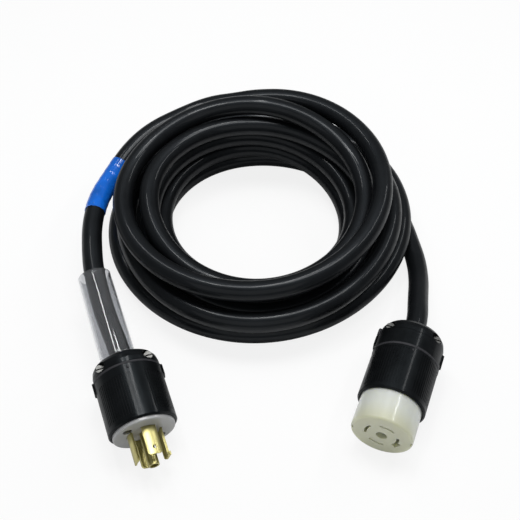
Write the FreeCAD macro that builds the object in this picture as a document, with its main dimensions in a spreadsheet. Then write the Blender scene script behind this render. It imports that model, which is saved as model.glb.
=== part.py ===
import FreeCAD, Part
import math
import os
import Sketcher

# Shore power cord: a coil of round five-core cable, a locking five-pole plug at one end
# and the matching connector at the other, a loose clear sleeve and a wrap of tape.
#
# Frame: +Z up, the floor at Z = 0, the plug and the connector at the front (-Y), the coil
# behind them. The origin lies on the floor midway between the plug and the connector.
# Each housing is made in a frame of its own: Z from the cable entry to the face, Y up.

SIZES = [
    # cable
    ("cable_dia", 18.5, "outside of the cable"),
    ("coil_x", -13.5, "coil centre, X"),
    ("coil_y", 199.9, "coil centre, Y"),
    ("core_dia", 4.4, "outside of one insulated conductor"),
    ("core_ring", 5.0, "radius of the ring of conductors in the cable"),
    ("jacket_end", 20.0, "how far the jacket reaches into a housing"),
    # sleeve and tape
    ("sleeve_bore", 25.0, "inside of the clear sleeve"),
    ("sleeve_wall", 1.5, "wall of the clear sleeve"),
    ("sleeve_length", 84.0, "length of the clear sleeve"),
    ("sleeve_gap", 0.3, "least gap between the sleeve's lower end and the cord clamp"),
    ("tape_build", 0.7, "thickness of the wrapped tape"),
    ("tape_fit", 0.05, "gap between the tape and the cable"),
    # both housings
    ("shell_dia", "=2 * (conn_terminal_ring + terminal_box / 2 + terminal_head + shell_room + shell_wall)",
     "outside of the black shells"),
    ("shell_room", 1.0, "gap between the connector's terminal screws and its shell"),
    ("shell_wall", 2.4, "wall of the black shells"),
    ("shell_chamfer", 1.2, "chamfer of a shell's front edge"),
    ("clamp_length", 14.0, "length of the cord clamp"),
    ("clamp_dia", 56.8, "outside of the cord clamp"),
    ("clamp_bore", 41.0, "inside of the cord clamp's hollow"),
    ("clamp_lip", 5.0, "length of the clamp's grip on the cable"),
    ("clamp_split", 1.6, "gap between the two jaws"),
    ("jaw_fit", 0.4, "gap between the jaws and the cable, and between the jaws and the shell"),
    ("clamp_rim", 0.7, "clamp outside its screw heads"),
    ("clamp_screw_x", "=clamp_dia / 2 - clamp_rim - clamp_head_dia", "clamp screws to the axis"),
    ("clamp_screw_z", 8.2, "clamp screws from the cable entry"),
    ("clamp_seat", 13.0, "height of the clamp screw heads' seats over the axis"),
    ("clamp_screw_dia", 3.8, "clamp screw shank"),
    ("clamp_head_dia", 7.6, "clamp screw head"),
    ("clamp_head", 2.6, "clamp screw head's height"),
    ("clamp_reach", 14.0, "clamp screw's end under the axis"),
    ("slip_fit", 0.1, "radial gap between a screw and its thread"),
    ("head_fit", 0.5, "radial gap around a screw head"),
    ("flange", 3.0, "thickness of the shell's rear wall"),
    ("gland_dia", 23.2, "hole of the shell's rear wall"),
    ("seal_fit", 0.05, "gap between the seal ring and what it touches"),
    ("seal_lip_dia", 25.0, "outside of the seal ring's lip"),
    ("seal_lip", 2.0, "thickness of the seal ring's lip"),
    ("rib_pitch", 4.6, "angle from one grip groove to the next"),
    ("rib_groove", 0.9, "width of a grip groove"),
    ("rib_depth", 0.5, "depth of a grip groove"),
    ("plug_rib_start", 24.0, "plug's grip grooves from the cable entry"),
    ("conn_rib_start", 33.0, "connector's grip grooves from the cable entry"),
    ("rib_margin", 5.0, "grip grooves to the shell's front edge"),
    ("lug_width", 12.0, "width of the shell's side lugs"),
    ("lug_height", 1.3, "how far the side lugs stand out"),
    ("lug_length", 9.0, "length of the side lugs"),
    ("insert_fit", 0.2, "gap between a shell and its inserts"),
    ("post_dia", 7.4, "posts that the assembly screws run in"),
    ("bolt_dia", 3.6, "assembly screw shank"),
    ("bolt_head_dia", 6.8, "assembly screw head"),
    ("bolt_head", 2.4, "assembly screw head's height"),
    # poles, shared by the plug's blades and the connector's slots
    ("pole_turn", -16.0, "angle of the neutral pole"),
    ("blade_inner", 12.6, "inner radius of a blade"),
    ("blade_thick", 1.8, "thickness of a blade"),
    ("blade_span", 50.0, "angle that a blade spans"),
    ("blade_length", 24.0, "blade outside the face"),
    ("blade_corner", 2.4, "rounding of a blade's tip corners"),
    ("blade_hole_dia", 3.2, "hole near the tip of the first blade"),
    ("blade_hole_back", 5.6, "hole to the tip"),
    ("hook_out", 2.6, "how far the neutral blade's hook stands out"),
    ("hook_length", 3.0, "length of the hook along the blade"),
    ("hook_span", 22.0, "angle that the hook spans"),
    ("pin_dia", 9.0, "outside of the ground pin"),
    ("pin_wall", 1.2, "wall of the ground pin"),
    ("pin_slot", 2.2, "slot along the ground pin"),
    ("pin_length", 28.5, "ground pin outside the face"),
    ("pole_fit", 0.25, "gap between a pole and its opening"),
    # terminals
    ("terminal_turn", 45.0, "angle from the neutral pole to the ground terminal"),
    ("plug_terminal_ring", "=blade_inner + blade_thick + insert_fit + terminal_box / 2",
     "radius of the ring of the plug's terminals"),
    ("conn_terminal_ring",
     "=blade_inner + blade_thick + pole_fit + contact_thick + well_fit + terminal_box / 2",
     "radius of the ring of the connector's terminals"),
    ("terminal_box", 8.0, "side of a terminal's clamp"),
    ("terminal_long", 9.0, "length of a terminal's clamp"),
    ("terminal_bore", 5.0, "wire hole of a terminal's clamp"),
    ("terminal_screw_dia", 3.4, "terminal screw shank"),
    ("terminal_head_dia", 5.6, "terminal screw head"),
    ("terminal_head", 1.4, "terminal screw head's height"),
    ("terminal_back", 1.5, "terminals behind the carrier's rear face"),
    ("well_fit", 0.25, "gap around a terminal in its well"),
    ("strap_width", 5.0, "width of the ground strap"),
    ("strap_long", 6.0, "length of the ground strap along the axis"),
    # plug
    ("plug_shell_end", 64.0, "plug shell's front edge from the cable entry"),
    ("plug_proud", 3.0, "plug face in front of the shell"),
    ("plug_face_deep", 19.0, "depth of the plug's face"),
    ("plug_carrier_deep", 14.0, "depth of the plug's terminal carrier"),
    ("plug_face_round", 1.0, "rounding of the plug face's rim"),
    ("plug_bolt_ring", "=blade_inner + blade_thick + bolt_head_dia / 2 + bolt_room",
     "radius of the plug's assembly screws"),
    ("bolt_room", 0.4, "gap between the blades' ring and the plug's assembly screws"),
    ("plug_turn", 19.5, "plug's heading from the front towards the right"),
    ("plug_pitch", 7.0, "plug's face tips down"),
    ("plug_x", -102.0, "middle of the plug's face, X"),
    ("plug_y", -35.6, "middle of the plug's face, Y"),
    # connector
    ("conn_shell_end", 75.0, "connector shell's front edge from the cable entry"),
    ("nose_out", 28.0, "nose in front of the shell"),
    ("nose_dia", 51.8, "outside of the nose"),
    ("nose_in", 13.0, "nose inside the shell"),
    ("nose_round", 2.0, "rounding of the nose's front edge"),
    ("nose_wall", 8.0, "face of the nose in front of the contacts"),
    ("nose_nick", 5.0, "width of the nicks at the face's rim"),
    ("nose_nick_deep", 1.6, "depth of the nicks"),
    ("nose_nick_wide", 1.2, "radial width of the nicks"),
    ("nose_nick_ring", 23.8, "radius of the nicks"),
    ("conn_carrier_deep", 14.0, "depth of the connector's terminal carrier"),
    ("contact_thick", 1.0, "thickness of the spring contacts"),
    ("contact_length", 26.0, "contacts in front of the terminal carrier"),
    ("contact_room", 0.5, "room around a contact in the nose"),
    ("conn_bolt_ring", 16.4, "radius of the connector's assembly screws"),
    ("conn_bolt_grip", 10.0, "assembly screws in the nose"),
    ("conn_turn", -20.5, "connector's heading from the front towards the right"),
    ("conn_x", 88.5, "middle of the connector's face, X"),
    ("conn_y", -38.1, "middle of the connector's face, Y"),
]

doc = FreeCAD.newDocument("shore_power_cord")
sheet = doc.addObject("Spreadsheet::Sheet", "sizes")
for row, (alias, value, meaning) in enumerate(SIZES, start=1):
    sheet.set("A%d" % row, meaning)
    sheet.set("B%d" % row, str(value))
    sheet.setAlias("B%d" % row, alias)
doc.recompute()


def size(alias):
    """A size from the sheet, in millimetres or degrees."""
    return float(sheet.get(alias))


def expand(text):
    """Put the sheet's name before each alias of an expression."""
    word = ""
    out = ""
    for letter in text + " ":
        if letter.isalnum() or letter == "_":
            word += letter
            continue
        out += "sizes." + word if word in NAMES else word
        out += letter
        word = ""
    return out.strip()


NAMES = {alias for alias, value, meaning in SIZES}
VECTOR = FreeCAD.Vector
ALONG = VECTOR(0, 0, 1)
pieces = {}


def bind(thing, **sizes):
    """Tie properties to expressions of the sheet; Base_x stands for Placement.Base.x."""
    for name, text in sizes.items():
        path = "Placement.Base." + name[-1] if name.startswith("Base_") else name
        thing.setExpression(path, expand(text))


def cylinder(radius, length, x="0", y="0", z="0", angle="360", turn=None):
    """A cylinder or pie wedge whose axis runs along Z, or as a turn leads it."""
    thing = doc.addObject("Part::Cylinder", "round")
    if turn is not None:
        thing.Placement = FreeCAD.Placement(VECTOR(), turn)
    bind(thing, Radius=radius, Height=length, Angle=angle, Base_x=x, Base_y=y, Base_z=z)
    return thing


def box(length, width, height, x="0", y="0", z="0"):
    """A box from its low corner."""
    thing = doc.addObject("Part::Box", "block")
    bind(thing, Length=length, Width=width, Height=height, Base_x=x, Base_y=y, Base_z=z)
    return thing


def turned(thing, degrees):
    """The same piece turned about the housing's axis."""
    turn = FreeCAD.Placement(VECTOR(), FreeCAD.Rotation(ALONG, degrees))
    holder = doc.addObject("Part::Compound", "turned")
    holder.Links = [thing]
    holder.Placement = turn
    return holder


def join(*things):
    """One solid of several."""
    if len(things) == 1:
        return things[0]
    thing = doc.addObject("Part::MultiFuse", "joined")
    thing.Shapes = list(things)
    return thing


def group(*things):
    """Several separate solids under one name."""
    thing = doc.addObject("Part::Compound", "group")
    thing.Links = list(things)
    return thing


def cut(base, *tools):
    """A piece with openings."""
    thing = doc.addObject("Part::Cut", "shaped")
    thing.Base = base
    thing.Tool = group(*tools) if len(tools) > 1 else tools[0]
    return thing


def keep(label, thing, placement):
    """Name a finished piece and put it where it lies."""
    thing.Label = label
    thing.Placement = placement.multiply(thing.Placement)
    pieces[label] = thing


def origin_plane(body, role):
    """One of a body's own origin planes."""
    for feature in body.Origin.OriginFeatures:
        if feature.Role == role:
            return feature
    raise ValueError(role)


def sketch_on(body, role, name):
    """An empty sketch on one of the body's origin planes."""
    sketch = body.newObject("Sketcher::SketchObject", name)
    sketch.AttachmentSupport = [(origin_plane(body, role), "")]
    sketch.MapMode = "FlatFace"
    return sketch


def tie(sketch, kind, element, point, text):
    """Hold one point's distance from the sketch's origin to an expression of the sheet."""
    doc.recompute()
    value = sketch.evalExpression(expand(text))
    value = float(getattr(value, "Value", value))
    if abs(value) < 1e-6:
        axis = -2 if kind == "DistanceX" else -1
        sketch.addConstraint(Sketcher.Constraint("PointOnObject", element, point, axis))
        return
    low = (-1, 1, element, point) if value > 0 else (element, point, -1, 1)
    index = sketch.addConstraint(Sketcher.Constraint(kind, *low, abs(value)))
    shown = expand(text) if value > 0 else "-(" + expand(text) + ")"
    sketch.setExpression("Constraints[%d]" % index, shown)


def outline(sketch, corners):
    """A closed line through corners given as pairs of expressions."""
    doc.recompute()
    points = []
    for across, along in corners:
        pair = []
        for text in (across, along):
            value = sketch.evalExpression(expand(text))
            pair.append(float(getattr(value, "Value", value)))
        points.append(VECTOR(pair[0], pair[1], 0))
    count = len(points)
    for index, point in enumerate(points):
        sketch.addGeometry(Part.LineSegment(point, points[(index + 1) % count]))
    for index in range(count):
        sketch.addConstraint(Sketcher.Constraint("Coincident", index, 2, (index + 1) % count, 1))
    for index, (across, along) in enumerate(corners):
        tie(sketch, "DistanceX", index, 1, across)
        tie(sketch, "DistanceY", index, 1, along)


def circles(sketch, radius, centres):
    """Circles of one radius at centres given as pairs of expressions."""
    for index, (across, along) in enumerate(centres):
        sketch.addGeometry(Part.Circle(VECTOR(index * 10 + 1, 1, 0), ALONG, 1))
        where = sketch.addConstraint(Sketcher.Constraint("Radius", index, 1))
        sketch.setExpression("Constraints[%d]" % where, expand(radius))
        tie(sketch, "DistanceX", index, 3, across)
        tie(sketch, "DistanceY", index, 3, along)


def revolve(body, sketch, angle):
    """Turn a sketch of radius and height about the housing's axis."""
    feature = body.newObject("PartDesign::Revolution", "turning")
    feature.Profile = sketch
    feature.ReferenceAxis = (sketch, ["V_Axis"])
    feature.Angle = angle
    return feature


def pocket(body, sketch, length, reverse, start=None):
    """Cut a sketch to a depth from its plane or from a plane parallel to it."""
    feature = body.newObject("PartDesign::Pocket", "cut")
    feature.Profile = sketch
    feature.Reversed = reverse
    bind(feature, Length=length)
    if start is not None:
        sketch.setExpression("AttachmentOffset.Base.z", expand(start))
    before = body.Shape.Volume if not body.Shape.isNull() else 0.0
    doc.recompute()
    if not feature.Shape.Volume < before:
        raise ValueError("nothing was cut from " + body.Label)
    return feature


def pad(body, sketch, length, start, reverse=False):
    """Raise a sketch by a length from a plane parallel to its own."""
    feature = body.newObject("PartDesign::Pad", "raised")
    feature.Profile = sketch
    feature.Reversed = reverse
    bind(feature, Length=length)
    sketch.setExpression("AttachmentOffset.Base.z", expand(start))
    doc.recompute()
    return feature


# Housings


def shell(end, bolt_ring, bolt_angles, post_end, rib_start):
    """A black shell: a tube with a rear wall, grip grooves, side lugs and screw posts."""
    body = doc.addObject("PartDesign::Body", "shell")
    profile = sketch_on(body, "XZ_Plane", "wall")
    outer = "shell_dia / 2"
    inner = "shell_dia / 2 - shell_wall"
    outline(profile, [
        ("gland_dia / 2", "clamp_length"),
        (outer, "clamp_length"),
        (outer, end + " - shell_chamfer"),
        (outer + " - shell_chamfer", end),
        (inner, end),
        (inner, "clamp_length + flange"),
        ("gland_dia / 2", "clamp_length + flange"),
    ])
    revolve(body, profile, 360)
    doc.recompute()
    for side in ("", "-"):
        lug = sketch_on(body, "XY_Plane", "lug")
        root = side + "(shell_dia / 2 - shell_wall / 2)"
        tip = side + "(shell_dia / 2 + lug_height)"
        outline(lug, [
            (root, "-lug_width / 2"),
            (tip, "-lug_width / 3"),
            (tip, "lug_width / 3"),
            (root, "lug_width / 2"),
        ])
        pad(body, lug, "lug_length", "clamp_length")
    if bolt_angles:
        posts = sketch_on(body, "XY_Plane", "posts")
        circles(posts, "post_dia / 2", spots(bolt_ring, bolt_angles))
        pad(body, posts, post_end + " - clamp_length - flange", "clamp_length + flange")
        threads = sketch_on(body, "XY_Plane", "threads")
        circles(threads, "bolt_dia / 2 + slip_fit", spots(bolt_ring, bolt_angles))
        pocket(body, threads, post_end + " - clamp_length + 2", True, "clamp_length - 1")
    for quarter in range(PANELS):
        groove = sketch_on(body, "XY_Plane", "groove")
        groove.AttachmentOffset = FreeCAD.Placement(
            VECTOR(), FreeCAD.Rotation(ALONG, PANEL_START + quarter * 360 / PANELS))
        outline(groove, [
            ("shell_dia / 2 - rib_depth", "-rib_groove / 2"),
            ("shell_dia / 2 + rib_depth", "-rib_groove / 2"),
            ("shell_dia / 2 + rib_depth", "rib_groove / 2"),
            ("shell_dia / 2 - rib_depth", "rib_groove / 2"),
        ])
        span = end + " - " + rib_start + " - rib_margin"
        first = pocket(body, groove, span, True, rib_start)
        row = body.newObject("PartDesign::PolarPattern", "grip")
        row.Originals = [first]
        row.Axis = (profile, ["V_Axis"])
        row.Occurrences = RIBS
        row.setExpression("Angle", expand("rib_pitch * %d" % (RIBS - 1)))
        body.Tip = row
        doc.recompute()
    return body


def spots(ring, angles):
    """Centres on a ring as expressions."""
    return [("%s * cos(%g)" % (ring, angle), "%s * sin(%g)" % (ring, angle)) for angle in angles]


def jaw(side):
    """One jaw of the cord clamp: half of a domed ring with a lip that grips the cable."""
    body = doc.addObject("PartDesign::Body", "jaw")
    profile = sketch_on(body, "XZ_Plane", "ring")
    grip = "cable_dia / 2 + jaw_fit"
    back = "clamp_length - jaw_fit"
    outline(profile, [
        (grip, "0"),
        ("clamp_dia / 2 * 0.67", "0"),
        ("clamp_dia / 2 * 0.79", "clamp_length * 0.07"),
        ("clamp_dia / 2 * 0.90", "clamp_length * 0.21"),
        ("clamp_dia / 2 * 0.97", "clamp_length * 0.42"),
        ("clamp_dia / 2", "clamp_length * 0.70"),
        ("clamp_dia / 2", back),
        ("clamp_bore / 2", back),
        ("clamp_bore / 2", "clamp_lip"),
        (grip, "clamp_lip"),
    ])
    ring = revolve(body, profile, 180)
    ring.Reversed = side < 0
    doc.recompute()
    split = sketch_on(body, "XY_Plane", "split")
    sign = "" if side > 0 else "-"
    outline(split, [
        ("-clamp_dia", "0"),
        ("clamp_dia", "0"),
        ("clamp_dia", sign + "clamp_split / 2"),
        ("-clamp_dia", sign + "clamp_split / 2"),
    ])
    pocket(body, split, "clamp_length + 2", True, "-1")
    places = [("clamp_screw_x", "clamp_screw_z"), ("-clamp_screw_x", "clamp_screw_z")]
    if side > 0:
        holes = sketch_on(body, "XZ_Plane", "holes")
        circles(holes, "clamp_screw_dia / 2 + slip_fit", places)
        pocket(body, holes, "clamp_dia / 2", False)
        seats = sketch_on(body, "XZ_Plane", "seats")
        circles(seats, "clamp_head_dia / 2 + head_fit", places)
        pocket(body, seats, "clamp_dia / 2", False, "-clamp_seat")
    else:
        threads = sketch_on(body, "XZ_Plane", "threads")
        circles(threads, "clamp_screw_dia / 2 + slip_fit", places)
        pocket(body, threads, "clamp_reach + jaw_fit", True)
    return body


def clamp_screws():
    """Two slotted screws that pull the jaws together."""
    down = FreeCAD.Rotation(VECTOR(1, 0, 0), 90)
    screws = []
    for side in ("", "-"):
        across = side + "clamp_screw_x"
        top = "clamp_seat + clamp_head"
        head = cylinder("clamp_head_dia / 2", "clamp_head", across, top, "clamp_screw_z", turn=down)
        shank = cylinder("clamp_screw_dia / 2", "clamp_seat + clamp_head / 2 + clamp_reach",
                         across, "clamp_seat + clamp_head / 2", "clamp_screw_z", turn=down)
        slot = box("clamp_head_dia + 2", "clamp_head", "clamp_head_dia / 6",
                   across + " - clamp_head_dia / 2 - 1", "clamp_seat + clamp_head / 2",
                   "clamp_screw_z - clamp_head_dia / 12")
        screws.append(cut(join(head, shank), slot))
    return group(*screws)


def seal():
    """The rubber ring that seals the cable in the shell's rear wall."""
    neck = cylinder("gland_dia / 2 - seal_fit", "flange", z="clamp_length")
    lip = cylinder("seal_lip_dia / 2", "seal_lip", z="clamp_length + flange")
    hole = cylinder("cable_dia / 2 + seal_fit", "flange + seal_lip + 2", z="clamp_length - 1")
    return cut(join(neck, lip), hole)


def wedge(inner, outer, span, length, z):
    """Part of a tube, centred on the X axis."""
    solid = cylinder(outer, length, z=z, angle=span)
    hollow = cylinder(inner, length + " + 2", z="(" + z + ") - 1")
    half = -size_of(span) / 2
    return turned(cut(solid, hollow), half)


def size_of(text):
    """The value of an expression of the sheet."""
    value = sheet.evalExpression(expand(text).replace("sizes.", ""))
    return float(getattr(value, "Value", value))


def terminal_boxes(rear, ring):
    """Five wire clamps of square bar, each with a wire hole and a screw hole."""
    clamps = []
    for angle in terminal_angles():
        bar = box("terminal_box", "terminal_box", "terminal_long",
                  ring + " - terminal_box / 2", "-terminal_box / 2", rear)
        wire = cylinder("terminal_bore / 2", "terminal_long + 2", ring, "0",
                        "(" + rear + ") - 1")
        screw = cylinder("terminal_screw_dia / 2 + slip_fit", "terminal_box",
                         ring, "0", "(" + rear + ") + terminal_long * 0.6",
                         turn=FreeCAD.Rotation(VECTOR(0, 1, 0), 90))
        clamps.append(turned(cut(bar, wire, screw), angle))
    return group(*clamps)


def terminal_screws(rear, ring):
    """Five short screws that press the wires in their clamps."""
    outwards = FreeCAD.Rotation(VECTOR(0, 1, 0), 90)
    screws = []
    for angle in terminal_angles():
        level = "(" + rear + ") + terminal_long * 0.6"
        inner = ring + " + core_dia / 2 + slip_fit"
        outer = ring + " + terminal_box / 2"
        reach = "terminal_box / 2 - core_dia / 2 - slip_fit + terminal_head / 2"
        shank = cylinder("terminal_screw_dia / 2", reach, inner, "0", level, turn=outwards)
        head = cylinder("terminal_head_dia / 2", "terminal_head", outer, "0", level, turn=outwards)
        screws.append(turned(join(shank, head), angle))
    return group(*screws)


def terminal_angles():
    """Angles of the four pole terminals and of the ground terminal."""
    first = size("pole_turn")
    return [first + 90 * index for index in range(POLES)] + [first + size("terminal_turn")]


def carrier(rear, deep, ring, inner, outer, pole_back, bolt_ring, bolt_angles, centre):
    """The block behind a face: wells for the terminals and slots for the poles."""
    block = cylinder("shell_dia / 2 - shell_wall - insert_fit", deep, z=rear)
    tools = []
    for index, angle in enumerate(terminal_angles()):
        low = ring + " - terminal_box / 2 - well_fit"
        well = box("shell_dia / 2", "terminal_box + 2 * well_fit",
                   "terminal_back + terminal_long + well_fit + 1", low,
                   "-terminal_box / 2 - well_fit", "(" + rear + ") - 1")
        tools.append(turned(well, angle))
        if index < POLES:
            slot = wedge(inner + " - pole_fit", outer + " + pole_fit",
                         "blade_span + 3", "(" + rear + ") + (" + deep + ") + 1 - (" + pole_back
                         + ") + pole_fit", "(" + pole_back + ") - pole_fit")
            tools.append(turned(slot, angle))
    strap = box(ring, "strap_width + 2 * pole_fit",
                "terminal_back + strap_long + pole_fit + 1",
                "0", "-strap_width / 2 - pole_fit", "(" + rear + ") - 1")
    tools.append(turned(strap, size("pole_turn") + size("terminal_turn")))
    tools.append(cylinder(centre + " + pole_fit", deep + " + 2", z="(" + rear + ") - 1"))
    for angle in bolt_angles:
        x, y = spots(bolt_ring, [angle])[0]
        tools.append(cylinder("bolt_dia / 2 + slip_fit", deep + " + 2", x, y, "(" + rear + ") - 1"))
    return cut(block, *tools)


def blade(index, back, tip):
    """One curved blade with rounded tip corners."""
    outer = "blade_inner + blade_thick"
    bar = wedge("blade_inner", outer, "blade_span", "(" + tip + ") - (" + back + ")", back)
    doc.recompute()
    top = size_of(tip)
    corners = []
    for number, edge in enumerate(bar.Shape.Edges, start=1):
        level = [abs(vertex.Z - top) < 1e-4 for vertex in edge.Vertexes]
        straight = abs(edge.Length - size("blade_thick")) < 1e-3
        if all(level) and straight:
            corners.append((number, size("blade_corner"), size("blade_corner")))
    rounded = doc.addObject("Part::Fillet", "rounded")
    rounded.Base = bar
    rounded.Edges = corners
    solid = rounded
    outwards = FreeCAD.Rotation(VECTOR(0, 1, 0), 90)
    if index == 1:
        hole = cylinder("blade_hole_dia / 2", "blade_thick + 4", "blade_inner - 2", "0",
                        "(" + tip + ") - blade_hole_back", turn=outwards)
        solid = cut(rounded, hole)
    if index == 0:
        hook = wedge(outer + " - blade_thick / 2", outer + " + hook_out", "hook_span",
                     "hook_length", "(" + tip + ") - hook_length - blade_corner")
        solid = join(rounded, turned(hook, (size("hook_span") - size("blade_span")) / 2))
    return turned(solid, size("pole_turn") + 90 * index)


def ground_pin(back, tip):
    """The hollow slotted ground pin and the strap to its terminal."""
    long = "(" + tip + ") - (" + back + ")"
    tube = cylinder("pin_dia / 2", long, z=back)
    bore = cylinder("pin_dia / 2 - pin_wall", long + " + 2", z="(" + back + ") - 1")
    slot = box("pin_dia", "pin_slot", "pin_length * 0.8", "-pin_dia", "-pin_slot / 2",
               "(" + tip + ") - pin_length * 0.8 + 1")
    strap = box("plug_terminal_ring - terminal_box / 2 - pin_dia / 2 + pin_wall / 2", "strap_width",
                "strap_long", "pin_dia / 2 - pin_wall / 2", "-strap_width / 2", back)
    return turned(join(cut(tube, bore, slot), strap), size("pole_turn") + size("terminal_turn"))


def bolts(ring, angles, head_at, forward, start, end):
    """Assembly screws along the axis with their heads on a seat at the front or the rear."""
    screws = []
    for angle in angles:
        x, y = spots(ring, [angle])[0]
        shank = cylinder("bolt_dia / 2", "(" + end + ") - (" + start + ")", x, y, start)
        low = head_at if forward else "(" + head_at + ") - bolt_head"
        head = cylinder("bolt_head_dia / 2", "bolt_head", x, y, low)
        slot_low = "(" + head_at + ") + bolt_head / 2" if forward else "(" + head_at + ") - bolt_head - 1"
        slot_long = "bolt_head" if forward else "bolt_head / 2 + 1"
        slot = box("bolt_head_dia + 2", "bolt_head_dia / 6", slot_long,
                   x + " - bolt_head_dia / 2 - 1", y + " - bolt_head_dia / 12", slot_low)
        screws.append(cut(join(shank, head), slot))
    return group(*screws)


POLES = 4
PANELS = 4
RIBS = 15
PANEL_START = -2.5
PLUG_BOLTS = [136.0, -44.0]
CONN_BOLTS = [119.0, -61.0]


def housing_placement(x, y, turn, pitch, length, low_at):
    """Lay a housing on the floor: its lowest ring lies at low_at along the axis."""
    lean = math.radians(pitch)
    height = size("shell_dia") / 2 * math.cos(lean) + low_at * math.sin(lean)
    rotation = FreeCAD.Rotation(ALONG, turn).multiply(FreeCAD.Rotation(VECTOR(1, 0, 0), 90 + pitch))
    ahead = rotation.multVec(ALONG)
    base = VECTOR(x, y, 0) - VECTOR(ahead.x, ahead.y, 0) * length
    base.z = height
    return FreeCAD.Placement(base, rotation)


PLUG_LONG = size("plug_shell_end") + size("plug_proud")
CONN_LONG = size("conn_shell_end") + size("nose_out")
PLUG = housing_placement(size("plug_x"), size("plug_y"), size("plug_turn"), size("plug_pitch"),
                         PLUG_LONG, size("plug_shell_end") - size("shell_chamfer"))
CONN = housing_placement(size("conn_x"), size("conn_y"), size("conn_turn"), 0.0, CONN_LONG, 0.0)

# Plug
plug_face_rear = "(plug_shell_end + plug_proud - plug_face_deep)"
plug_rear = "(plug_shell_end + plug_proud - plug_face_deep - plug_carrier_deep)"
plug_terminals = "(plug_shell_end + plug_proud - plug_face_deep - plug_carrier_deep + terminal_back)"
plug_front = "(plug_shell_end + plug_proud)"
plug_seat = "(plug_shell_end + plug_proud - bolt_head - 0.4)"
blade_tip = "(plug_shell_end + plug_proud + blade_length)"
pin_tip = "(plug_shell_end + plug_proud + pin_length)"
blade_outer = "blade_inner + blade_thick"

keep("plug_shell", shell("plug_shell_end", "plug_bolt_ring", PLUG_BOLTS, plug_rear, "plug_rib_start"), PLUG)
keep("plug_jaw_upper", jaw(1), PLUG)
keep("plug_jaw_lower", jaw(-1), PLUG)
keep("plug_clamp_screws", clamp_screws(), PLUG)
keep("plug_seal", seal(), PLUG)
keep("plug_terminal_clamps", terminal_boxes(plug_terminals, "plug_terminal_ring"), PLUG)
keep("plug_terminal_screws", terminal_screws(plug_terminals, "plug_terminal_ring"), PLUG)
keep("plug_carrier",
     carrier(plug_rear, "plug_carrier_deep", "plug_terminal_ring", "blade_inner", blade_outer,
             plug_terminals, "plug_bolt_ring", PLUG_BOLTS, "pin_dia / 2"), PLUG)
for index, name in enumerate(["neutral", "line_1", "line_2", "line_3"]):
    keep("plug_blade_" + name, blade(index, plug_terminals, blade_tip), PLUG)
keep("plug_ground_pin", ground_pin(plug_terminals, pin_tip), PLUG)
keep("plug_assembly_screws",
     bolts("plug_bolt_ring", PLUG_BOLTS, plug_seat, True, "clamp_length + flange + 4", plug_seat), PLUG)


def plug_face():
    """The pale face: a disc with openings for the poles and seats for the screws."""
    disc = cylinder("shell_dia / 2 - shell_wall - insert_fit", "plug_face_deep", z=plug_face_rear)
    doc.recompute()
    rim = [number for number, edge in enumerate(disc.Shape.Edges, start=1)
           if edge.Vertexes[0].Z > size_of(plug_front) - 0.01 and len(edge.Vertexes) == 1]
    rounded = doc.addObject("Part::Fillet", "rounded")
    rounded.Base = disc
    rounded.Edges = [(number, size("plug_face_round"), size("plug_face_round")) for number in rim]
    low = "(" + plug_face_rear + ") - 1"
    tools = [cylinder("pin_dia / 2 + pole_fit", "plug_face_deep + 2", z=low)]
    for index in range(POLES):
        slot = wedge("blade_inner - pole_fit", blade_outer + " + pole_fit", "blade_span + 3",
                     "plug_face_deep + 2", low)
        tools.append(turned(slot, size("pole_turn") + 90 * index))
    for angle in PLUG_BOLTS:
        x, y = spots("plug_bolt_ring", [angle])[0]
        tools.append(cylinder("bolt_dia / 2 + slip_fit", "plug_face_deep + 2", x, y, low))
        tools.append(cylinder("bolt_head_dia / 2 + head_fit", "bolt_head + 2", x, y, plug_seat))
    return cut(rounded, *tools)


keep("plug_face", plug_face(), PLUG)

# Connector
nose_rear = "(conn_shell_end - nose_in)"
conn_rear = "(conn_shell_end - nose_in - conn_carrier_deep)"
conn_terminals = "(conn_shell_end - nose_in - conn_carrier_deep + terminal_back)"
conn_front = "(conn_shell_end + nose_out)"
contact_tip = "(conn_shell_end - nose_in + contact_length)"
contact_inner = "blade_inner + blade_thick + pole_fit"
contact_outer = "blade_inner + blade_thick + pole_fit + contact_thick"
socket_inner = "pin_dia / 2 + pole_fit"
socket_outer = "pin_dia / 2 + pole_fit + contact_thick"


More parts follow.
